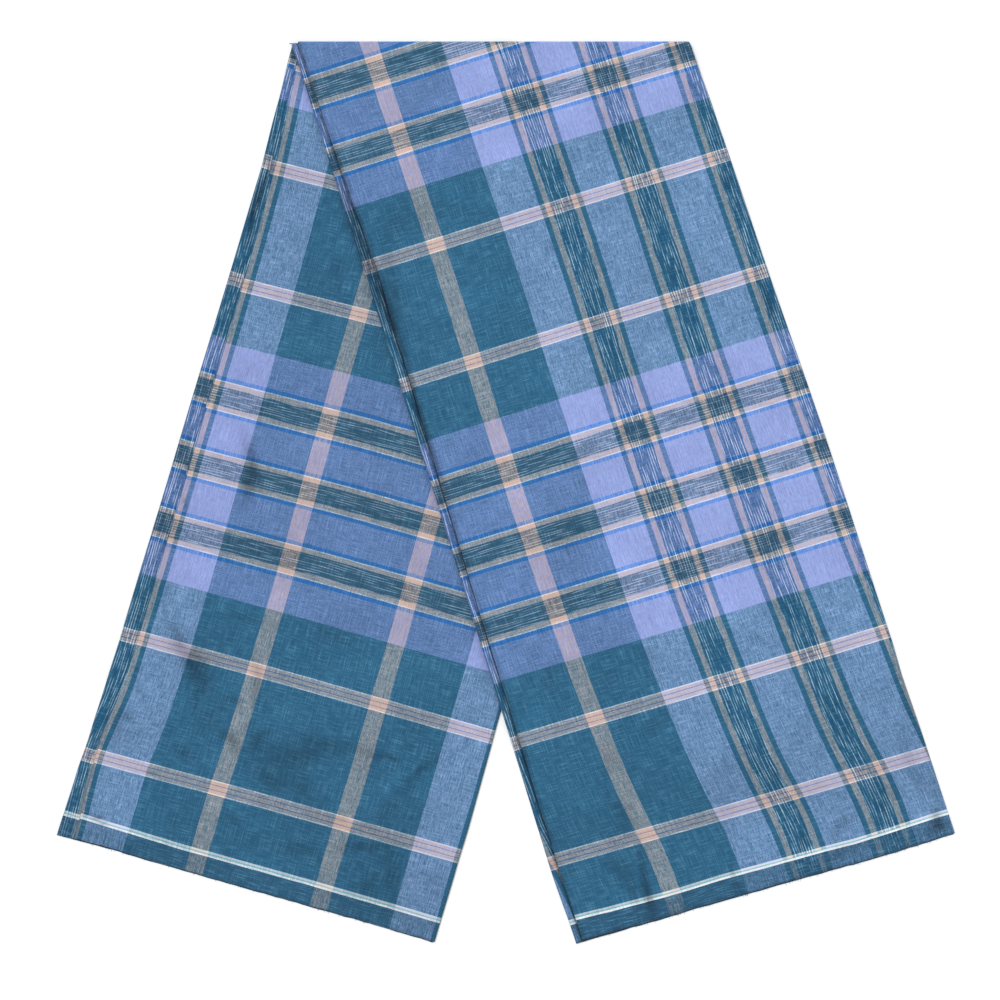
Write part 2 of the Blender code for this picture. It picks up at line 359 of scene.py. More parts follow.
def weft_place(leg, across, along, strip):
    """The weft chart's position, in mm from the middle of the cloth."""
    table = OVER_WEFT if leg is OVER_LEG else UNDER_WEFT
    chart_rows = [row.chart for row in table]
    left, middle, right = WEFT_PLACES[leg.name]
    sag = np.interp(across, [row.across for row in SAGS], [getattr(row, leg.name) for row in SAGS])
    chart = MIDDLE_ALONG - along
    for _ in range(2):
        at = {
            name: np.interp(chart, chart_rows, [getattr(row, name) for row in table])
            for name in ("strip", "left", "middle", "right")
        }
        to_middle = at["left"] + (at["middle"] - at["left"]) * (across - left) / (middle - left)
        to_right = at["middle"] + (at["right"] - at["middle"]) * (across - middle) / (right - middle)
        lift = np.where(across < middle, to_middle, to_right)
        lift = np.where(strip, at["strip"], lift + sag * ease((chart - SAG_START) / SAG_LENGTH))
        chart = MIDDLE_ALONG - along + lift
    return chart


def cloth_places(leg, laid, flats, strip):
    """UV places, in metres of cloth, for points as laid and as they lie when unfolded."""
    corner = np.array(leg.end_left)
    across = (flats - corner) @ np.array(leg.across) / MM
    along = (laid - corner) @ np.array(leg.up) / MM
    warp = warp_place(leg, across, along)
    weft = weft_place(leg, across, along, strip)
    return np.stack([warp * MM, weft * MM], axis=-1)


middle = np.array([[0.0, 0.0]])
place = cloth_places(OVER_LEG, middle, middle, np.array([False]))
print("the plan's middle is at chart place", place.round(3).tolist())

# %% [markdown]
# ## Creases
#
# Cloth that has been folded away and laid out again keeps soft creases. They could be simulated,
# but a simulation puts them anywhere. Each crease here is a soft trough or ridge, given one by one:
# a place on a leg, a direction, a length, a width and a depth, all uneven as on the real cloth.
# Each crease also darkens the colour a little, as painted shade in its trough, and each ridge is
# painted a little lighter. Rows with no depth are painted shade or light alone, and rows with a
# negative one are ridges.

# %% A table of creases
# across and along are from the leg's corner at the cut end, turn is in degrees from the weft's
# direction, depth is down, and dark is the share of light that the crease loses
CREASE_COLUMNS = "across along turn length width depth dark"
UNDER_CREASES = named_rows(
    CREASE_COLUMNS,
    # A fan of creases above the cut end
    (88, 236, -37, 124, 17, 0.8, 0.18),
    (92, 229, -50, 46, 9, 0.5, 0.11),
    (65, 260, -50, 42, 6, 0.5, 0.15),
    (104, 235, -45, 42, 6, 0.4, 0.09),
    (106, 197, 93, 62, 6, 0.5, 0.12),
    (146, 207, 0, 32, 6, 0.5, 0.14),
    (168, 233, -74, 76, 8, 0.5, 0.16),
    (155, 164, -27, 54, 9, 0.6, 0.18),
    (186, 172, 70, 42, 9, 0.7, 0.18),
    (171, 191, 20, 30, 7, -0.6, -0.08),
    (109, 134, -18, 46, 8, 0.5, 0.12),
    (130, 182, 58, 86, 14, 0.7, 0.07),
    (176, 194, 64, 60, 8, 0.6, 0.07),
    (218, 166, 24, 120, 20, 0.7, 0.10),
    (242, 168, 28, 76, 12, 0.6, 0.11),
    (250, 132, -28, 130, 24, 0.8, 0.08),
    (262, 186, -14, 74, 7, 0.8, 0.11),
    (283, 192, 5, 80, 11, 0.6, 0.12),
    (332, 195, 0, 58, 6, 0.5, 0.14),
    (316, 176, -8, 60, 6, 0.5, 0.06),
    (372, 191, 58, 76, 7, 0.6, 0.15),
    (352, 140, 62, 110, 13, 0.8, 0.09),
    (346, 172, 58, 52, 6, -0.7, -0.07),
    (326, 128, 60, 104, 11, -0.9, -0.04),
    # Softer ones down to the heading
    (212, 132, -17, 56, 11, 0.6, 0.13),
    (300, 106, 12, 84, 16, 0.6, 0.07),
    (333, 89, 17, 78, 8, 0.6, 0.17),
    (268, 68, 10, 52, 9, 0.6, 0.15),
    (182, 76, 5, 42, 9, 0.4, 0.11),
    (212, 58, 6, 100, 16, 0.6, 0.06),
    (122, 62, 70, 60, 12, 0.4, 0.06),
    (376, 68, -73, 112, 16, 0.4, 0.11),
    (352, 45, 0, 36, 9, 0.4, 0.10),
    (425, 74, -50, 42, 8, 0.4, 0.09),
    (352, 52, 34, 80, 12, 0.6, 0.04),
    # Short sharp ones by the tuck and in the strip
    (36, 154, -12, 26, 3, 0.4, 0.26),
    (31, 140, -73, 58, 7, 0.4, 0.11),
    (13, 116, 80, 32, 5, 0.4, 0.12),
    (46, 184, -34, 34, 5, 0.6, 0.10),
    (34, 208, -20, 26, 4, 0.5, 0.10),
    (62, 60, 84, 44, 8, -0.5, -0.02),
    (35, 37, -6, 38, 2, 0.4, 0.34),
    (38, 32, -4, 30, 2, 0.3, 0.26),
    (30, 406, -42, 28, 3, 0.4, 0.22),
    (11, 752, 90, 112, 4, 0.4, 0.38),
    # Few and soft higher up
    (136, 299, 7, 112, 8, 0.4, 0.08),
    (237, 308, 0, 72, 14, 0.4, 0.07),
    (94, 440, 82, 66, 11, 0.5, 0.08),
    (89, 466, -70, 112, 9, 0.6, 0.14),
    (93, 468, -68, 56, 8, 0.5, 0.14),
    (102, 441, 20, 36, 8, 0.4, 0.11),
    (62, 452, -42, 44, 5, 0.4, 0.07),
    (52, 560, 60, 52, 6, 0.4, 0.06),
    (170, 470, 18, 74, 12, -0.5, -0.02),
    (250, 330, 10, 120, 15, 0.5, 0.04),
    (330, 250, -18, 90, 13, 0.5, 0.05),
    (60, 300, 74, 60, 9, -0.5, -0.02),
    (120, 700, 76, 70, 12, 0.4, 0.05),
    # Broad shade
    (270, 275, 12, 280, 45, 0.0, -0.04),
    (370, 60, 10, 260, 90, 0.0, 0.05),
)
OVER_CREASES = named_rows(
    CREASE_COLUMNS,
    # Along the warp near the cut end, and at its lower right corner
    (97, 46, 87, 100, 6, 0.7, 0.18),
    (93, 30, 88, 42, 6, 0.5, 0.18),
    (70, 67, -62, 44, 9, 0.4, 0.13),
    (95, 124, -72, 92, 14, 0.4, 0.09),
    (98, 190, 84, 40, 7, 0.5, 0.07),
    (210, 96, 70, 90, 14, 0.5, 0.04),
    (280, 30, 70, 36, 9, 0.4, 0.13),
    (325, 36, 30, 62, 10, 0.4, 0.11),
    (424, 70, 98, 110, 12, 0.6, 0.09),
    (441, 50, 88, 84, 9, 0.5, 0.10),
    (432, 8, 90, 44, 8, 0.3, 0.26),
    (92, 10, 88, 46, 7, 0.4, 0.20),
    (79, 40, 88, 82, 9, 0.4, 0.11),
    (193, 18, 85, 62, 6, 0.3, 0.13),
    (382, 44, 70, 62, 7, 0.3, 0.09),
    (143, 54, 10, 62, 20, -0.3, -0.05),
    (230, 52, 10, 66, 20, -0.3, -0.05),
    (315, 6, 20, 52, 8, 0.3, 0.14),
    (428, 2, 0, 38, 9, 0.3, 0.16),
    (440, 140, 92, 150, 6, 0.3, 0.10),
    # Beside its folds, higher up
    (24, 764, 84, 140, 15, 0.5, 0.14),
    (16, 740, 82, 90, 8, 0.4, 0.05),
    (6, 795, 93, 270, 9, 0.0, 0.27),
    (11, 605, 90, 230, 6, 0.0, 0.20),
    (326, 828, 80, 52, 7, 0.3, 0.11),
    (157, 368, 17, 46, 7, 0.3, 0.11),
    (4, 880, 88, 76, 6, 0.3, 0.08),
    (50, 833, 10, 100, 22, 0.4, 0.09),
    (424, 630, 90, 86, 6, 0.4, 0.18),
    (420, 772, 90, 42, 6, 0.3, 0.12),
    # Soft ones
    (8, 217, 85, 42, 5, 0.3, 0.14),
    (167, 211, 20, 72, 14, 0.4, 0.09),
    (175, 272, 80, 62, 14, 0.4, 0.08),
    (63, 298, 60, 62, 13, 0.4, 0.08),
    (262, 250, 80, 120, 18, -0.5, -0.02),
    (130, 420, 84, 160, 20, 0.4, 0.03),
    (350, 470, 94, 150, 18, -0.5, -0.02),
    (60, 560, 40, 90, 14, 0.4, 0.04),
    (240, 690, 76, 130, 17, 0.4, 0.04),
    (29, 716, -81, 82, 2, -0.2, -0.06),
    (120, 830, -20, 90, 12, 0.4, 0.04),
    (330, 780, 20, 80, 13, -0.4, -0.02),
    # Broad darkening over the lower half of each leg
    (110, 110, 0, 460, 90, 0.0, 0.05),
    (340, 110, 0, 420, 90, 0.0, 0.05),
    (110, 263, 10, 220, 45, 0.0, 0.05),
)
CREASES = {"under": UNDER_CREASES, "over": OVER_CREASES}
MOST_BOW = 7  # mm
LIE_HEIGHT = 0.35 * MM  # the soft unevenness of cloth that lies on other cloth
LIE_SCALE = 70 * MM


def crease_relief(leg, spots):
    """How far the cloth sinks at each point, in metres, and the painted shade of its creases there."""
    out = spots - np.array(leg.end_left)
    across = out @ np.array(leg.across) / MM
    along = out @ np.array(leg.up) / MM
    sink = np.zeros(len(spots))
    dark = np.zeros(len(spots))
    for crease in CREASES[leg.name]:
        turn = math.radians(crease.turn)
        right = across - crease.across
        above = along - crease.along
        down_line = (right * math.cos(turn) + above * math.sin(turn)) / (crease.length / 2)
        off_line = right * -math.sin(turn) + above * math.cos(turn)
        off_line += min(0.12 * crease.length, MOST_BOW) * down_line**2  # none is quite straight
        ends = np.clip(1 - down_line**2, 0, 1) ** 1.5
        form = ends * np.exp(-((off_line / crease.width) ** 2) * 2)
        sink += form * crease.depth * MM
        dark += form * crease.dark
    uneven = [noise.noise((x / LIE_SCALE, y / LIE_SCALE, 3.0)) for x, y in spots]
    return sink + LIE_HEIGHT * (1 + np.array(uneven)) / 2, dark


print(sum(map(len, CREASES.values())), "creases")

# %% [markdown]
# ## A sheet folded along its length
#
# Each leg is a panel that shows, with its left edge folded in and its right edge turned under,
# over a second panel that faces the table. Seen from the end, a sheet is a path: along a hidden
# flap, round a fold, across the panel and round the next fold. So a sheet is made as a grid
# whose columns are stations on that path and whose rows run up the leg. Every station has two
# places across the leg: where it lies, and where it would lie if the cloth were unfolded, which
# is what its place in the weaver's chart depends on.

# %% Stations across a sheet
# side is the edge that the offsets are measured from, inwards, steps is the number of columns up
# to the next station, and dark is the light that a narrow cleft loses there
Station = namedtuple("Station", "side offset flat height steps dark", defaults=(0.0,))
FOLD_STEPS = 6
PANEL_STEPS = 120


def fold_stations(side, at, radius, bottom, start, end, dark=0.0, steps=FOLD_STEPS):
    """Stations round a half-circle fold whose outermost point is at a distance from a side.

    Angles are in degrees, 90 at the top of the fold and -90 at its bottom.
    """
    stations = []
    for step in range(steps + 1):
        angle = math.radians(start + (end - start) * step / steps)
        offset = at + radius * (1 - math.cos(angle))
        height = bottom + radius * (1 + math.sin(angle))
        flat = at + radius - radius * (math.pi / 2 - angle)
        stations.append(Station(side, offset, flat, height, 1, dark))
    return stations


def side_turn(dark=0.0, steps=8):
    """Stations round a leg's right edge, from the upper panel down to the table, with painted shade that
    grows to dark round the turn.
    """
    stations = []
    for step in range(steps + 1):
        angle = math.pi * step / steps
        offset = SIDE_RADIUS * (1 - math.sin(angle))
        height = SIDE_RADIUS * (1 + math.cos(angle))
        flat = SIDE_RADIUS * (1 - angle)
        stations.append(Station("right", offset, flat, height, 1, dark * step / steps))
    return stations


def flap(side, at, radius, bottom, width, steps):
    """The station where a hidden flap starts, inside the fold that it leads to."""
    return Station(side, at + radius + width, at + radius - radius * math.pi - width, bottom, steps)


# %% Rows up a leg, and the whole sheet as arrays
ROW_STEP = 5.5 * MM
FINE_STEP = 3.2 * MM  # the rows stand closer where the creases are, near the cut end
FINE_LENGTH = 260 * MM
EASE_START = 4 * MM
EASE_LENGTH = 26 * MM
step_line = (UNDER_LEG.end_right - UNDER_LEG.fold_right).normalized()
step_out = np.array((-step_line.y, step_line.x))


def rest_height(spots):
    """How high the over leg's underside lies: on the under leg, then down to the table."""
    beyond = (spots - np.array(UNDER_LEG.fold_right)) @ step_out
    height = OVER_REST * (1 - ease((beyond - EASE_START) / EASE_LENGTH))
    return np.where(spots[:, 1] > FOLD_Y, OVER_REST, height)


def section(leg, share, stations):
    """Each station's place in the plan at one share of the leg, laid and unfolded, and height."""
    left = leg.edge("left", share)
    right = leg.edge("right", share)
    across = (right - left).normalized()
    starts = {"left": left, "inset": left + across * leg.inset(share), "right": right}
    rows = []
    for station in stations:
        way = -across if station.side == "right" else across
        start = starts[station.side]
        laid = start + way * station.offset
        flat = start + way * station.flat
        from_left = (laid - left).dot(across)
        rows.append((*laid, *flat, station.height, station.dark, from_left))
    mixed = []
    for here, there, station in zip(rows, rows[1:], stations):
        for k in range(station.steps):
            way = k / station.steps
            mixed.append([a + (b - a) * way for a, b in zip(here, there)])
    mixed.append(list(rows[-1]))
    return mixed


def leg_rows(leg, before_end):
    """Shares of the leg from a distance before the cut end up to the fold."""
    length = leg.length() - before_end
    fine = round(FINE_LENGTH / FINE_STEP)
    coarse = round((length - FINE_LENGTH) / ROW_STEP)
    along = [FINE_LENGTH * row / fine for row in range(fine)]
    along += [FINE_LENGTH + (length - FINE_LENGTH) * row / coarse for row in range(coarse + 1)]
    return [(length - at) / leg.length() for at in along]


print("rows up a leg:", len(leg_rows(OVER_LEG, END_STEP)))

# %% [markdown]
# ## From arrays to a cloth mesh
#
# The arrays give each grid point its place, its chart place and its painted shade, from creases,
# folds, clefts and the over leg's edge. A flat bmesh grid is then shaped by them, and a Solidify
# modifier gives the sheet the thickness of real cotton. The pattern reads the UV map, so it stays
# on the threads wherever the sheet goes.

# %% The mesh of a sheet
CLOTH = 0.35 * MM
SHEET_UV = "cloth"  # the map's name
PAINTED_SHADE = "painted_shade"


def make_piece(bm, name, replaced=()):
    """A finished object on the body of the part."""
    mesh = bpy.data.meshes.new(name)
    bm.to_mesh(mesh)
    bm.free()
    mesh.shade_smooth()
    piece = bpy.data.objects.new(name, mesh)
    bpy.context.collection.objects.link(piece)
    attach(piece, "root")
    if replaced:
        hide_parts(*replaced)
    return piece


def sheet_mesh(name, replaced, places, charts, darks):
    """A cloth sheet from arrays of rows by columns."""
    rows = places.shape[0] - 1
    columns = places.shape[1] - 1
    bm = bmesh.new()
    bmesh.ops.create_grid(bm, x_segments=columns, y_segments=rows, size=1.0)
    uv = bm.loops.layers.uv.new(SHEET_UV)
    dark = bm.verts.layers.float.new(PAINTED_SHADE)
    spots = {}
    for vert in bm.verts:
        column = round((vert.co.x + 1) / 2 * columns)
        row = round((vert.co.y + 1) / 2 * rows)
        spots[vert] = (row, column)
    for face in bm.faces:
        for loop in face.loops:
            loop[uv].uv = charts[spots[loop.vert]]
    for vert, spot in spots.items():
        vert[dark] = darks[spot]
        vert.co = places[spot]
    piece = make_piece(bm, name, replaced)
    thickness = piece.modifiers.new("cotton", "SOLIDIFY")
    thickness.thickness = CLOTH
    thickness.offset = -1.0
    area = sum(face.area for face in piece.data.polygons)
    print(name, rows, "x", columns, "steps,", round(area, 3), "square metres")
    return piece


# %% Laying a sheet: heights, creases and the turn over the top
TURN_ROWS = 18
CUT_WOBBLE = 0.7 * MM
BESIDE_DARK = 0.16
BESIDE_REACH = 3.5 * MM
UPPER_FROM = 1.7 * MM  # creases fade in above this height, so they move the upper side alone
UPPER_FADE = 0.6 * MM
SETTLE_LENGTH = 20 * MM  # and they fade out near the turn over the top


def roll_over_top(places):
    """Bends what reaches past the fold line over the top and down to the table."""
    past = np.maximum(places[..., 1] - FOLD_Y, 0.0)
    angle = past / TURN_RADIUS
    radius = places[..., 2] - TURN_RADIUS
    rolled = places.copy()
    rolled[..., 1] = FOLD_Y + radius * np.sin(angle)
    rolled[..., 2] = TURN_RADIUS + radius * np.cos(angle)
    return np.where(past[..., None] > 0, rolled, places)


def cut_bow(leg, spot):
    """How far up the leg the cut lies at a spot, from the straight line between its corners."""
    share = (Vector(spot) - leg.end_left).dot(leg.across) / (leg.end_right - leg.end_left).length
    return column_value(END_BOWS, leg.name, min(max(share, 0.0), 1.0)) * MM


def shape_cut(leg, grid):
    """Bows the cut end, the grid's first row, and makes it as uneven as scissors leave it."""
    for column, (x, y) in enumerate(grid[0, :, 0:2]):
        off = cut_bow(leg, (x, y)) + noise.noise((x * 90, y * 90, leg.seed)) * CUT_WOBBLE
        grid[0, column, 0:4] += np.tile(np.array(leg.up) * off, 2)
        if off > 0:
            grid[1, column, 0:4] += np.tile(np.array(leg.up) * off * 0.3, 2)


def beside_over_leg(spots):
    """How much light cloth loses just left of the over leg's edge."""
    edge = [OVER_LEG.edge("left", k / 40) for k in range(41)]
    at = np.interp(-spots[:, 1], [-point.y for point in edge], [point.x for point in edge])
    return BESIDE_DARK * np.exp(-np.maximum(at - spots[:, 0], 0.0) / BESIDE_REACH)


def lay_sheet(name, leg, stations, replaced, before_end, strip=slice(0), turn=0.0, leaf=False):
    """Lays one sheet of a leg. turn is how far it is rolled over the top, in metres.

    strip picks the columns of the narrow strip at its left, and leaf is for a lower panel.
    """
    shares = leg_rows(leg, before_end)
    grid = np.array([section(leg, share, stations) for share in shares])
    if turn:
        rows = []
        for k in range(1, TURN_ROWS + 1):
            row = grid[-1].copy()
            row[:, (0, 2)] -= TURN_DRIFT * k / TURN_ROWS
            row[:, (1, 3)] += turn * k / TURN_ROWS
            rows.append(row)
        grid = np.concatenate([grid, np.array(rows)])
    shape_cut(leg, grid)
    count = grid.shape[:2]
    columns = grid.reshape(-1, grid.shape[2])
    spots, flats, heights, dark, from_left = np.split(columns, (2, 4, 5, 6), axis=1)
    heights = heights[:, 0]
    dark = dark[:, 0]
    in_strip = np.zeros(count, bool)
    in_strip[:, strip] = True
    in_strip = in_strip.reshape(-1)
    charts = cloth_places(leg, spots, flats, in_strip)
    if leaf:
        along = (spots - np.array(leg.end_left)) @ np.array(leg.up) / MM
        round_fold = np.where(in_strip, -from_left[:, 0], from_left[:, 0]) / MM
        charts[:, 0] = leaf_place(round_fold, along) * MM
        dark = dark + crease_relief(leg, spots)[1] * in_strip
    else:
        sink, creases = crease_relief(leg, spots)
        upper = ease((heights - UPPER_FROM) / UPPER_FADE)
        settled = ease((FOLD_Y - spots[:, 1]) / SETTLE_LENGTH)
        heights = heights - sink * upper * settled
        dark = dark + creases * upper
    if leg is OVER_LEG:
        heights = heights + rest_height(spots)
    else:
        dark = dark + beside_over_leg(spots)
    places = np.concatenate([spots, heights[:, None]], axis=1).reshape(*count, 3)
    places = roll_over_top(places)
    return sheet_mesh(name, replaced, places, charts.reshape(*count, 2), dark.reshape(count))


# %% [markdown]
# ## Shader sums in Python
#
# Wiring dozens of Math nodes by hand hides that. A small class that stands for a socket lets the
# same sums be written as Python expressions.

# %% A socket that takes part in sums
class Wire:
    """An output of a node, in a material that is being drawn."""

    def __init__(self, drawing, socket):
        self.drawing = drawing
        self.socket = socket

    def __add__(self, other):
        return self.drawing.math("ADD", self, other)

    def __sub__(self, other):
        return self.drawing.math("SUBTRACT", self, other)

    def __rsub__(self, other):
        return self.drawing.math("SUBTRACT", other, self)

    def __mul__(self, other):
        return self.drawing.math("MULTIPLY", self, other)

    def __truediv__(self, other):
        return self.drawing.math("DIVIDE", self, other)

    def __lt__(self, other):
        return self.drawing.math("LESS_THAN", self, other)

    def __gt__(self, other):
        return self.drawing.math("GREATER_THAN", self, other)

    def __abs__(self):
        return self.drawing.math("ABSOLUTE", self)

    __radd__ = __add__
    __rmul__ = __mul__


class Drawing:
    """One material's nodes."""

    def __init__(self, name):
        self.material = bpy.data.materials.new(name)
        self.material.use_nodes = True
        self.tree = self.material.node_tree
        self.shader = self.tree.nodes["Principled BSDF"]

    def node(self, kind, settings=None, inputs=None, output=0):
        """Adds a node with its settings first, then its sockets, and returns one output."""
        node = self.tree.nodes.new(kind)
        for setting, value in (settings or {}).items():
            setattr(node, setting, value)
        for socket, value in (inputs or {}).items():
            self.set(node.inputs[socket], value)
        return Wire(self, node.outputs[output])

    def set(self, socket, value):
        if isinstance(value, Wire):
            self.tree.links.new(value.socket, socket)
        else:
            socket.default_value = value

    def math(self, operation, *values):
        return self.node("ShaderNodeMath", {"operation": operation}, dict(enumerate(values)))

    def mix(self, share, one, other):
        """A colour that goes from one to other as share goes from 0 to 1."""
        sockets = {0: share, 6: one, 7: other}
        return self.node("ShaderNodeMix", {"data_type": "RGBA"}, sockets, output=2)

    def noise(self, across, along, detail=2.0, roughness=0.5):
        """Noise from 0 to 1 over two coordinates that are already in its own units."""
        point = self.node("ShaderNodeCombineXYZ", inputs={0: across, 1: along})
        return self.node(
            "ShaderNodeTexNoise",
            {"noise_dimensions": "2D"},
            {"Vector": point, "Scale": 1.0, "Detail": detail, "Roughness": roughness},
        )

    def finish(self, **sockets):
        """Sets the shader's own sockets, with spaces for the underscores in their names."""
        for socket, value in sockets.items():
            self.set(self.shader.inputs[socket.replace("_", " ")], value)
        return self.material


# %% [markdown]
# ## The woven check
#
# Both charts have the same plan. A teal field has two thin stripes of peach in it. The next zone
# is pale, and has three bands of ikat: yarn that was tied and dyed in patches before weaving, so
# that it shows as broken dashes. Each band has a line of peach and an outer line of another
# colour on both sides. At every point the cloth shows half warp and half weft, so the colour
# there is the mean of the two yarns. That is what makes the nine or more tones of a check from
# so few yarns, and what an image of a check would miss where the threads wander.

# %% Yarn colours
def yarn(red, green, blue):
    """A yarn's colour as the eye sees it, from 0 to 255, for mixing before it is made linear."""
    return (red / 255, green / 255, blue / 255, 1.0)


TEAL_WARP = yarn(48, 98, 131)
TEAL_WEFT = yarn(42, 91, 123)
TEAL_SLUB = yarn(94, 144, 171)
LIGHT_WARP = yarn(156, 176, 224)
LAVENDER_WEFT = yarn(134, 146, 211)
PEACH_WARP = yarn(190, 172, 165)
PEACH_WEFT = yarn(211, 178, 166)
PALE_ROW = yarn(244, 238, 242)
FINE_BLUE = yarn(90, 104, 158)
BLUE_WEFT = yarn(50, 110, 208)
IKAT_WARP_DARK = yarn(18, 69, 105)
IKAT_WARP_PALE = yarn(226, 236, 244)
IKAT_WEFT_DARK = yarn(42, 66, 86)
IKAT_WEFT_BLUE = yarn(162, 195, 218)
IKAT_WEFT_ROSE = yarn(206, 192, 200)
IKAT_CROSSING = yarn(54, 82, 106)
BORDER_WEFT = yarn(42, 80, 108)
HEADING_WHITE = yarn(238, 240, 244)
HEADING_GREEN = yarn(150, 198, 196)

# %% Bands of one chart
# All in mm: half widths, offsets from the middle of the teal field or of the pale zone
Chart = namedtuple(
    "Chart",
    "repeat field_middle field_half stripe_offset stripe_half group_spacing ikat peach edge",
)
WARP = Chart(644.2, 152.7, 152.7, 73.2, 9.9, 96.7, 12.4, 18.4, 24.0)
WEFT = Chart(557.7, 278.85, 139.4, 70.1, 7.9, 81.4, 11.0, 17.2, 21.6)


def bands(position, chart):
    """For a position in a chart: is it field, and the distance from a stripe and from an ikat."""
    drawing = position.drawing
    half = chart.repeat / 2
    turned = drawing.math("FLOORED_MODULO", position - (chart.field_middle - half), chart.repeat)
    from_field = abs(turned - half)
    from_zone = half - from_field
    from_side_band = abs(from_zone - chart.group_spacing)
    from_ikat = drawing.math("MINIMUM", from_zone, from_side_band)
    return from_field < chart.field_half, abs(from_field - chart.stripe_offset), from_ikat


# %% The cloth's material, in mm
PALE_WIDTH = 1.4
FINE_LINE_OFFSET = 2.7
FINE_LINE_HALF = 0.5
HEADING_AT = 975.1
HEADING_HALF = 3.0
HEADING_GREEN_HALF = 0.8
IKAT_LINE_REACH = 0.68
IKAT_SPACING = 2.7
WARP_DASH = 26.0
WEFT_DASH = 30.0


def contrast(grain, middle, gain):
    """Stretches a noise about its middle and keeps it between 0 and 1."""
    drawing = grain.drawing
    raised = (grain - middle) * gain + 0.5
    return drawing.node("ShaderNodeClamp", inputs={0: raised})


def ikat_lines(over_threads, along_threads, spacing, dash):
    """Fine pale lines, one in a few threads, that break into dashes, over fainter streaks."""
    drawing = over_threads.drawing
    place = over_threads / spacing
    line = drawing.math("FLOOR", place)
    sway = drawing.noise(line * 3.7, along_threads / 40.0, detail=0.0)
    from_line = abs(place - line - 0.5 + (sway - 0.5) * 0.8) * spacing
    core = drawing.node("ShaderNodeClamp", inputs={0: (1.0 - from_line / IKAT_LINE_REACH) * 1.4})
    on = contrast(drawing.noise(line * 5.3, along_threads / dash), 0.48, 5.0)
    streak = contrast(drawing.noise(over_threads / 0.8, along_threads / dash), 0.62, 3.0)
    return drawing.node("ShaderNodeClamp", inputs={0: core * on + streak * 0.3})


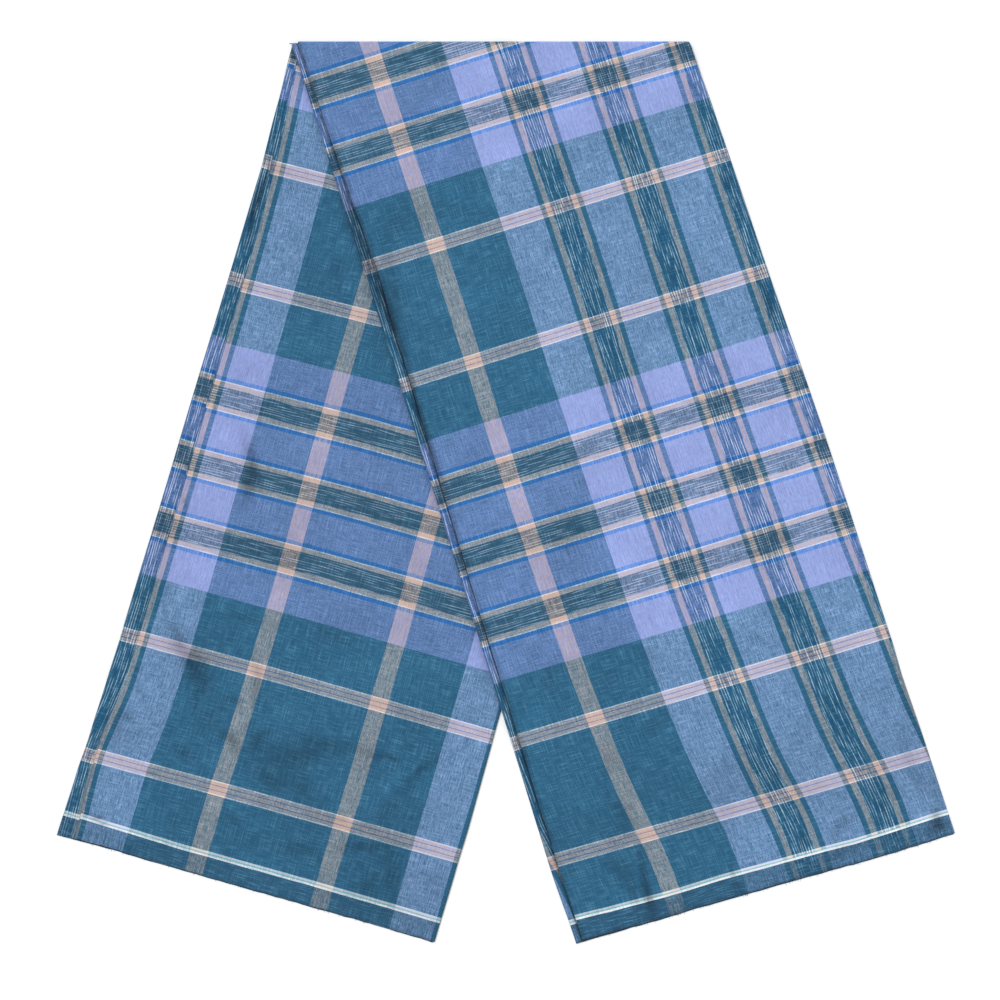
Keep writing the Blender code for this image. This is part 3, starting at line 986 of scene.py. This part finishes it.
def woven_check(name, shade, border_cover):
    """The check, by the cloth's own UV map. shade darkens it, and border_cover deepens its ends."""
    cloth = Drawing(name)
    map_ = cloth.node("ShaderNodeUVMap", {"uv_map": SHEET_UV})
    apart = cloth.node("ShaderNodeSeparateXYZ", inputs={0: map_})
    warp_at = apart * 1000.0
    weft_at = Wire(cloth, apart.socket.node.outputs[1]) * 1000.0

    # Yarn is uneven along its length, and each thread differs from the next
    warp_threads = cloth.noise(warp_at / 1.1, weft_at / 24.0)
    weft_threads = cloth.noise(warp_at / 18.0, weft_at / 1.1)
    warp_grain = cloth.noise(warp_at / 0.95, weft_at / 5.2, detail=1.0)
    weft_grain = cloth.noise(warp_at / 2.4, weft_at / 0.95, detail=1.0)
    patches = cloth.noise(warp_at / 70.0, weft_at / 60.0, detail=4.0, roughness=0.55)
    warp_slub = contrast(warp_threads, 0.68, 2.6)
    weft_slub = contrast(weft_threads, 0.68, 2.6)
    warp_teal = cloth.mix(warp_slub, TEAL_WARP, TEAL_SLUB)
    weft_teal = cloth.mix(weft_slub, TEAL_WEFT, TEAL_SLUB)

    # Warp: teal with peach stripes, or pale with ikat groups edged in teal
    field, from_stripe, from_ikat = bands(warp_at, WARP)
    in_stripe = from_stripe < WARP.stripe_half
    pale_warp = cloth.math("MAXIMUM", 1.0 - field, in_stripe)
    dashes = ikat_lines(warp_at, weft_at, IKAT_SPACING, WARP_DASH)
    ikat_warp = cloth.mix(dashes, IKAT_WARP_DARK, IKAT_WARP_PALE)
    zone = cloth.mix(from_ikat < WARP.edge, LIGHT_WARP, TEAL_WARP)
    zone = cloth.mix(from_ikat < WARP.peach, zone, PEACH_WARP)
    zone = cloth.mix(from_ikat < WARP.ikat, zone, ikat_warp)
    warp_is_ikat = (from_ikat < WARP.ikat) * (1.0 - field)
    warp = cloth.mix(field, zone, cloth.mix(in_stripe, warp_teal, PEACH_WARP))

    # Weft: teal with fine-lined peach bands, or lavender with ikat bands edged in blue
    field, from_stripe, from_ikat = bands(weft_at, WEFT)
    in_stripe = from_stripe < WEFT.stripe_half
    pale_weft = cloth.math("MAXIMUM", 1.0 - field, in_stripe)
    dashes = ikat_lines(weft_at, warp_at, IKAT_SPACING, WEFT_DASH)
    tint = contrast(cloth.noise(warp_at / 30.0, weft_at / 1.3), 0.5, 4.0)
    pale_ikat = cloth.mix(tint, IKAT_WEFT_BLUE, IKAT_WEFT_ROSE)
    ikat_weft = cloth.mix(dashes, IKAT_WEFT_DARK, pale_ikat)
    zone = cloth.mix(from_ikat < WEFT.edge, LAVENDER_WEFT, BLUE_WEFT)
    zone = cloth.mix(from_ikat < WEFT.peach, zone, PALE_ROW)
    zone = cloth.mix(from_ikat < WEFT.peach - PALE_WIDTH, zone, PEACH_WEFT)
    zone = cloth.mix(from_ikat < WEFT.ikat, zone, ikat_weft)
    weft_is_ikat = (from_ikat < WEFT.ikat) * (1.0 - field)
    band = cloth.mix(from_stripe < WEFT.stripe_half - PALE_WIDTH, PALE_ROW, PEACH_WEFT)
    fine_line = abs(from_stripe - FINE_LINE_OFFSET) < FINE_LINE_HALF
    band = cloth.mix(fine_line, band, FINE_BLUE)
    weft = cloth.mix(field, zone, cloth.mix(in_stripe, weft_teal, band))

    # The heading near each cut end, and the border beyond it
    from_middle = abs(weft_at)
    from_heading = abs(from_middle - HEADING_AT)
    border = from_middle > HEADING_AT
    weft = cloth.mix(border, weft, cloth.mix(weft_slub, BORDER_WEFT, TEAL_SLUB))
    weft = cloth.mix(from_heading < HEADING_HALF, weft, HEADING_WHITE)
    weft = cloth.mix(from_heading < HEADING_GREEN_HALF, weft, HEADING_GREEN)

    # Half warp and half weft, and more of a pale yarn where it is thick
    warp_swell = (warp_grain - 0.5) * 0.6 + (warp_threads - 0.5) * 0.55
    weft_swell = (weft_grain - 0.5) * 0.55 + (weft_threads - 0.5) * 0.5
    cover = 0.5 + weft_swell * pale_weft - warp_swell * pale_warp
    cover = cover + (from_heading < HEADING_HALF) * 0.16 + border * border_cover
    cover = cloth.node("ShaderNodeClamp", inputs={0: cover})
    colour = cloth.mix(cover, warp, weft)
    colour = cloth.mix(warp_is_ikat * weft_is_ikat * 0.3, colour, IKAT_CROSSING)

    # Light and dark threads, soft patches, and the painted shade and light of creases, folds, clefts and
    # the cloth beside the over leg
    light = 1.0 + (warp_threads + weft_threads - 1.0) * 0.18 + (warp_grain + weft_grain - 1.0) * 0.12
    light = light + (patches - 0.5) * 0.16
    dark = cloth.node("ShaderNodeAttribute", {"attribute_name": PAINTED_SHADE}, output=2)
    light = light * (1.0 - dark) * shade
    shaded = cloth.node(
        "ShaderNodeVectorMath", {"operation": "SCALE"}, {0: colour, "Scale": light}
    )
    linear = cloth.node("ShaderNodeGamma", inputs={"Color": shaded, "Gamma": 2.2})

    # Plain weave: fine ribs of both threads
    height = warp_threads + weft_threads + warp_grain + weft_grain
    bump = cloth.node(
        "ShaderNodeBump", inputs={"Strength": 0.35, "Distance": 0.15 * MM, "Height": height}
    )
    roughness = 0.84 + (warp_grain - 0.5) * 0.12
    return cloth.finish(
        Base_Color=linear,
        Roughness=roughness,
        Normal=bump,
        Specular_IOR_Level=0.15,
        Sheen_Weight=0.12,
        Sheen_Roughness=0.5,
    )


over_cotton = woven_check("checked_cotton", 0.985, 0.29)
under_cotton = woven_check("checked_cotton_worn", 0.955, 0.14)
print("nodes in the check:", len(over_cotton.node_tree.nodes))

# %% [markdown]
# ## The under leg
#
# Two sheets. The lower one faces the table, and its left edge folds up and in: from above only
# that fold shows, as a dark line along the leg, partly real shadow and partly painted shade. The
# upper one is the panel that shows. It has its own fold at the left, a strip of ikat, and a small
# tuck, with a little painted shade, where the strip meets the rest.

# %% Under leg: the panel that faces the table
LEAF_FOLD = 0.5 * MM
LEAF_FLAP = 60 * MM


def leaf_stations(face_start):
    """The lower panel from the leg's right edge to its left fold, then the hidden flap."""
    start = Station("right", face_start, face_start, 0.0, PANEL_STEPS // 2)
    # painted shade on the fold, and deeper painted shade in the cleft under the upper panel's edge
    fold = fold_stations("left", 0.0, LEAF_FOLD, 0.0, -90, 90, dark=0.12)
    top = 2 * LEAF_FOLD
    cleft = [
        Station("left", 2.2 * MM, 0.0, top, 2, 0.0),
        Station("inset", -4.6 * MM, 0.0, top, 1, 0.06),
        Station("inset", -2.6 * MM, 0.0, top, 1, 0.16),
        Station("inset", -1.2 * MM, 0.0, top, 1, 0.36),
        Station("inset", 1.2 * MM, 0.0, top, 3, 0.44),
        Station("left", LEAF_FOLD + LEAF_FLAP, 0.0, top, 1, 0.42),
    ]
    return [start, *fold, *cleft]


leaves = leaf_stations(SIDE_RADIUS + GAP)
LEAF_STRIP = slice(PANEL_STEPS // 2 + FOLD_STEPS // 2 + 1, None)
under_leaves = lay_sheet(
    "under_leg_leaves", UNDER_LEG, leaves, ["under_leg_layers"], 0.0, strip=LEAF_STRIP, leaf=True
)
under_leaves.data.materials.append(under_cotton)

# %% Under leg: the panel that shows
STRIP_FOLD_AT = 0.9 * MM
STRIP_FOLD = 0.45 * MM
STRIP_BOTTOM = 1.4 * MM
STRIP_TOP = STRIP_BOTTOM + 2 * STRIP_FOLD
TUCK_DEPTH = 0.15 * MM
strip_fold = fold_stations("left", STRIP_FOLD_AT, STRIP_FOLD, STRIP_BOTTOM, -90, 90)
under_stations = [
    flap("left", STRIP_FOLD_AT, STRIP_FOLD, STRIP_BOTTOM, 30 * MM, 4),
    *strip_fold[:-1],
    strip_fold[-1]._replace(steps=5),
    # a little painted shade in and beside the tuck
    Station("inset", -1.4 * MM, -1.4 * MM, STRIP_TOP, 1, 0.03),
    Station("inset", -0.3 * MM, -0.3 * MM, STRIP_TOP - TUCK_DEPTH, 1, 0.17),
    Station("inset", 0.5 * MM, 0.5 * MM, LEG_HEIGHT - 0.2 * MM, 1, 0.08),
    Station("inset", 1.6 * MM, 1.6 * MM, LEG_HEIGHT, 2, 0.0),
    Station("inset", 6.0 * MM, 6.0 * MM, LEG_HEIGHT, PANEL_STEPS),
    *side_turn(dark=0.4),
]
strip_columns = slice(4 + FOLD_STEPS + 5 + 2)
under_cloth = lay_sheet(
    "under_leg_cloth", UNDER_LEG, under_stations, ["under_leg_face"], END_STEP, strip=strip_columns
)
under_cloth.data.materials.append(under_cotton)

# %% [markdown]
# ## The over leg
#
# The same two sheets again, but here it is the lower sheet's left fold that reaches out past
# the upper panel. The upper panel also makes the turn over the top, so it runs on past the fold
# line and is rolled round a small radius until it meets the table.

# %% Over leg: the panel underneath
over_leaves = lay_sheet(
    "over_leg_leaves",
    OVER_LEG,
    leaves,
    ["over_leg_layers"],
    0.0,
    strip=LEAF_STRIP,
    turn=math.pi * TURN_RADIUS * 0.5,
    leaf=True,
)
over_leaves.data.materials.append(over_cotton)

# %% Over leg: the panel that shows, and the turn
PANEL_FOLD = 0.65 * MM
PANEL_BOTTOM = LEG_HEIGHT - 2 * PANEL_FOLD
# painted shade round the panel's left fold and just inside it
panel_fold = fold_stations("inset", 0.0, PANEL_FOLD, PANEL_BOTTOM, -90, 90, dark=0.13)
over_stations = [
    flap("inset", 0.0, PANEL_FOLD, PANEL_BOTTOM, 25 * MM, 4),
    *panel_fold[:-1],
    panel_fold[-1]._replace(steps=2),
    Station("inset", 3.4 * MM, 3.4 * MM, LEG_HEIGHT, 1, 0.07),
    Station("inset", 6.0 * MM, 6.0 * MM, LEG_HEIGHT, PANEL_STEPS),
    *side_turn(),
]
over_cloth = lay_sheet(
    "over_leg_cloth",
    OVER_LEG,
    over_stations,
    ["over_leg_face"],
    END_STEP,
    turn=math.pi * TURN_RADIUS,
)
over_cloth.data.materials.append(over_cotton)

# %% [markdown]
# ## Frayed ends
#
# The two ends are cut and not hemmed, so the last warp threads stand out a little past the
# cloth. They are only a few tenths of a millimetre thick: small tapering prisms are enough. All
# the threads of one leg are one mesh, and each takes its colour from its place in the chart.

# %% Loose threads at a cut end
THREAD_RADIUS = 0.16 * MM
random_threads = np.random.default_rng(11)


def frayed_end(name, leg, cotton, count, levels):
    """Short threads along a leg's cut end, at the heights of its layers."""
    bm = bmesh.new()
    uv = bm.loops.layers.uv.new(SHEET_UV)
    bm.verts.layers.float.new(PAINTED_SHADE)
    for _ in range(count):
        share = random_threads.uniform(0.01, 0.99)
        height, before = levels[random_threads.integers(len(levels))]
        length = random_threads.uniform(1.2, 3.4) * MM
        root = leg.end_left.lerp(leg.end_right, share)
        root += leg.up * (before + 0.5 * MM + cut_bow(leg, root))
        lean = random_threads.normal(0, 0.35)
        way = (leg.across * lean - leg.up).normalized()
        tip = root + way * length
        middle = (root + tip) / 2
        rest = rest_height(np.array([middle]))[0] if leg is OVER_LEG else 0.0
        along = Vector((way.x, way.y, random_threads.normal(0, 0.06)))
        turned = along.to_track_quat("Z", "Y").to_matrix().to_4x4()
        made = bmesh.ops.create_cone(
            bm,
            cap_ends=True,
            segments=4,
            radius1=THREAD_RADIUS,
            radius2=THREAD_RADIUS * 0.5,
            depth=length,
            matrix=Matrix.Translation((middle.x, middle.y, height + rest)) @ turned,
        )
        chart = cloth_places(leg, np.array([root]), np.array([root]), np.array([False]))[0]
        for vert in made["verts"]:
            for loop in vert.link_loops:
                loop[uv].uv = chart
    piece = make_piece(bm, name)
    piece.data.materials.append(cotton)
    print(name, count, "threads")
    return piece


UPPER_LEVEL = (LEG_HEIGHT - 0.25 * MM, END_STEP)
LOWER_LEVEL = (0.5 * MM, 0.0)
levels = (UPPER_LEVEL, LOWER_LEVEL)
under_threads = frayed_end("under_leg_frayed_end", UNDER_LEG, under_cotton, 90, levels)
over_threads = frayed_end("over_leg_frayed_end", OVER_LEG, over_cotton, 80, levels)

# %% [markdown]
# ## Floor and light
#
# The photograph is a cut-out on white under even light. A white floor, a bright even sky and one
# broad soft lamp from the upper left give the same flat tones, and leave just enough direction
# for the creases and the layered edges to show. The plain view transform keeps yarn colours as
# they were set.

# %% Pale floor
FLOOR_DROP = 0.2 * MM
floor_bm = bmesh.new()
bmesh.ops.create_grid(floor_bm, x_segments=2, y_segments=2, size=12.0)
bmesh.ops.translate(floor_bm, verts=floor_bm.verts[:], vec=(0, 0, -FLOOR_DROP))
floor_mesh = bpy.data.meshes.new("floor")
floor_bm.to_mesh(floor_mesh)
floor_bm.free()
floor = bpy.data.objects.new("floor", floor_mesh)
bpy.context.collection.objects.link(floor)
floor_paint = Drawing("pale_floor")
floor_mesh.materials.append(
    floor_paint.finish(Base_Color=(0.95, 0.95, 0.95, 1.0), Roughness=0.9, Specular_IOR_Level=0.0)
)

# %% Soft light
SKY_SHARE = 0.58
LAMP_SHARE = 0.52
LAMP_FROM = Vector((-0.42, 0.46, 0.9))
world = bpy.data.worlds.new("even_sky")
world.use_nodes = True
world.node_tree.nodes["Background"].inputs["Color"].default_value = (1, 1, 1, 1)
world.node_tree.nodes["Background"].inputs["Strength"].default_value = SKY_SHARE
bpy.context.scene.world = world
lamp_data = bpy.data.lights.new("soft_lamp", "SUN")
lamp_data.angle = math.radians(25)
lamp_data.energy = LAMP_SHARE * math.pi / LAMP_FROM.normalized().z
lamp = bpy.data.objects.new("soft_lamp", lamp_data)
lamp.rotation_euler = LAMP_FROM.to_track_quat("Z", "Y").to_euler()
bpy.context.collection.objects.link(lamp)
bpy.context.scene.view_settings.view_transform = "Standard"
print("lamp energy", round(lamp_data.energy, 2))

# %% Finish
bpy.context.view_layer.update()
